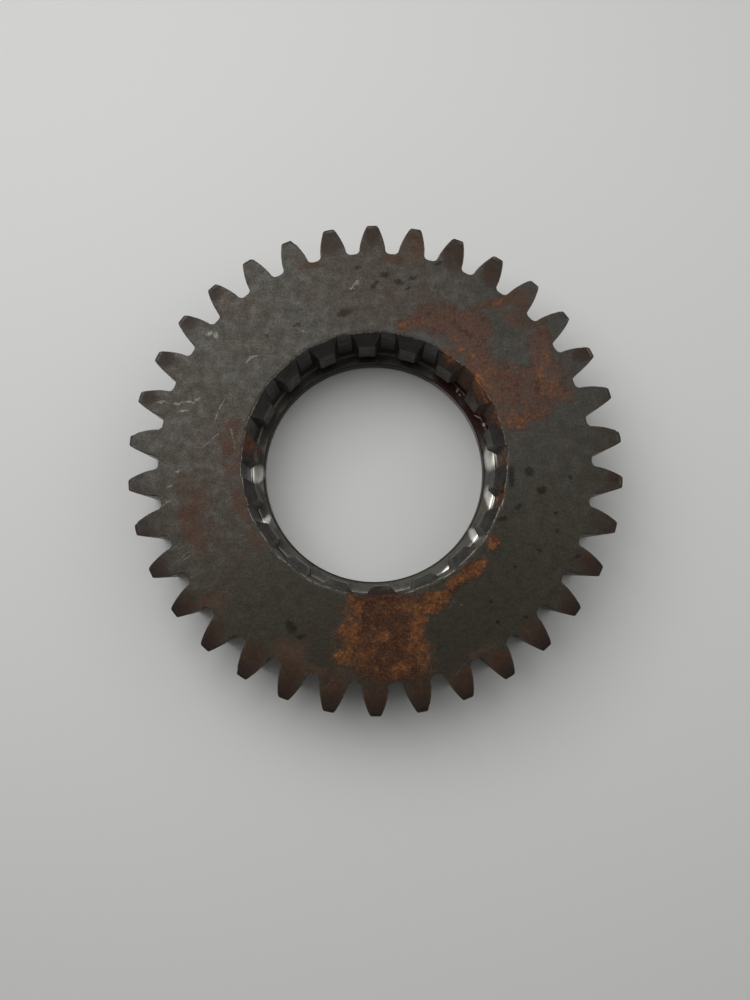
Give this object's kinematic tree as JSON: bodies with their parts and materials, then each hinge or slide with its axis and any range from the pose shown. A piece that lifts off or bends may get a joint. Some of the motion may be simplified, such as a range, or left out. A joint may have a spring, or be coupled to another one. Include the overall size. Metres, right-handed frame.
{
  "type": "spur gear wheel",
  "caption": "Straight-cut spur gear wheel with a tapered splined socket on one face, a run-out groove under the spline and a smooth bore through the back shoulder.",
  "frame": {"origin": "on the wheel's axis, at the flat back face that it lies on", "axes": "+Z along the axis, from the back face towards the socket's open front face; one rim tooth is centred on +Y"},
  "size_m": [0.1436, 0.144, 0.03],
  "materials": {
    "gear_steel": "worn, oily dark grey steel with light rust patches"
  },
  "bodies": {
    "root": {"gear_wheel": "gear_steel"}
  },
  "joints": []
}
